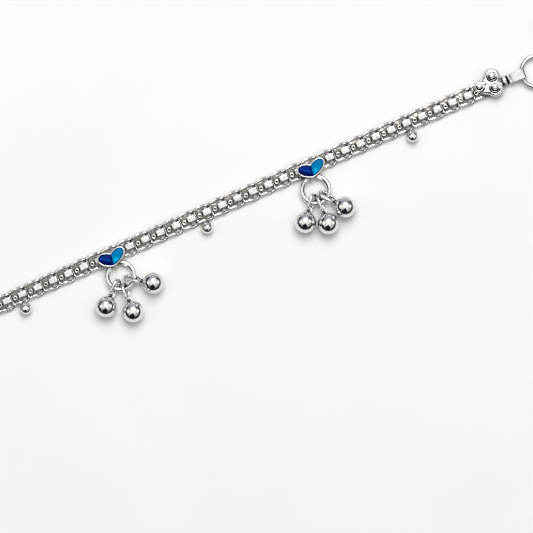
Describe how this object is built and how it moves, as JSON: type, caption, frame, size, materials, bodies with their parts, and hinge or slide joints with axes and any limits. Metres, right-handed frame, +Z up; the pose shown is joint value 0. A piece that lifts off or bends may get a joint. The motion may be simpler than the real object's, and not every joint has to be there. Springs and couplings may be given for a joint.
{
  "type": "payal anklet",
  "caption": "Closed silver chain anklet with enamelled heart stations, small bells on rings, drop beads and a ring-and-hook clasp.",
  "frame": {"origin": "under the middle of the whole closed loop, on the surface it lies on", "axes": "+X along the straight front run towards the clasp ring, +Z up from the surface; the front run's bells point to -Y"},
  "size_m": [0.1266, 0.0708, 0.0033],
  "materials": {
    "silver": "polished silver, mirror bright, with slight casting waviness on the caps",
    "enamel_dark": "glossy royal blue enamel, slightly uneven",
    "enamel_light": "glossy azure enamel, slightly uneven"
  },
  "bodies": {
    "root": {"chain_front": "silver", "chain_back": "silver", "station_1_heart_setting": "silver", "station_1_enamel_dark": "enamel_dark", "station_1_enamel_light": "enamel_light", "station_1_ring": "silver", "station_1_link_1": "silver", "station_1_bell_1": "silver", "station_1_link_2": "silver", "station_1_bell_2": "silver", "station_1_link_3": "silver", "station_1_bell_3": "silver", "station_2_heart_setting": "silver", "station_2_enamel_dark": "enamel_dark", "station_2_enamel_light": "enamel_light", "station_2_ring": "silver", "station_2_link_1": "silver", "station_2_bell_1": "silver", "station_2_link_2": "silver", "station_2_bell_2": "silver", "station_2_link_3": "silver", "station_2_bell_3": "silver", "station_3_heart_setting": "silver", "station_3_enamel_dark": "enamel_dark", "station_3_enamel_light": "enamel_light", "station_3_bell_cluster": "silver", "station_4_heart_setting": "silver", "station_4_enamel_dark": "enamel_dark", "station_4_enamel_light": "enamel_light", "station_4_bell_cluster": "silver", "station_5_heart_setting": "silver", "station_5_enamel_dark": "enamel_dark", "station_5_enamel_light": "enamel_light", "station_5_bell_cluster": "silver", "station_6_heart_setting": "silver", "station_6_enamel_dark": "enamel_dark", "station_6_enamel_light": "enamel_light", "station_6_bell_cluster": "silver", "station_7_heart_setting": "silver", "station_7_enamel_dark": "enamel_dark", "station_7_enamel_light": "enamel_light", "station_7_bell_cluster": "silver", "ball_1": "silver", "ball_2": "silver", "ball_3": "silver", "ball_4": "silver", "ball_5": "silver", "ball_6": "silver", "ball_7": "silver", "ball_8": "silver", "end_cap_a": "silver", "clasp_strap": "silver", "end_cap_b": "silver", "hook_strap": "silver", "clasp_ring": "silver"}
  },
  "joints": []
}
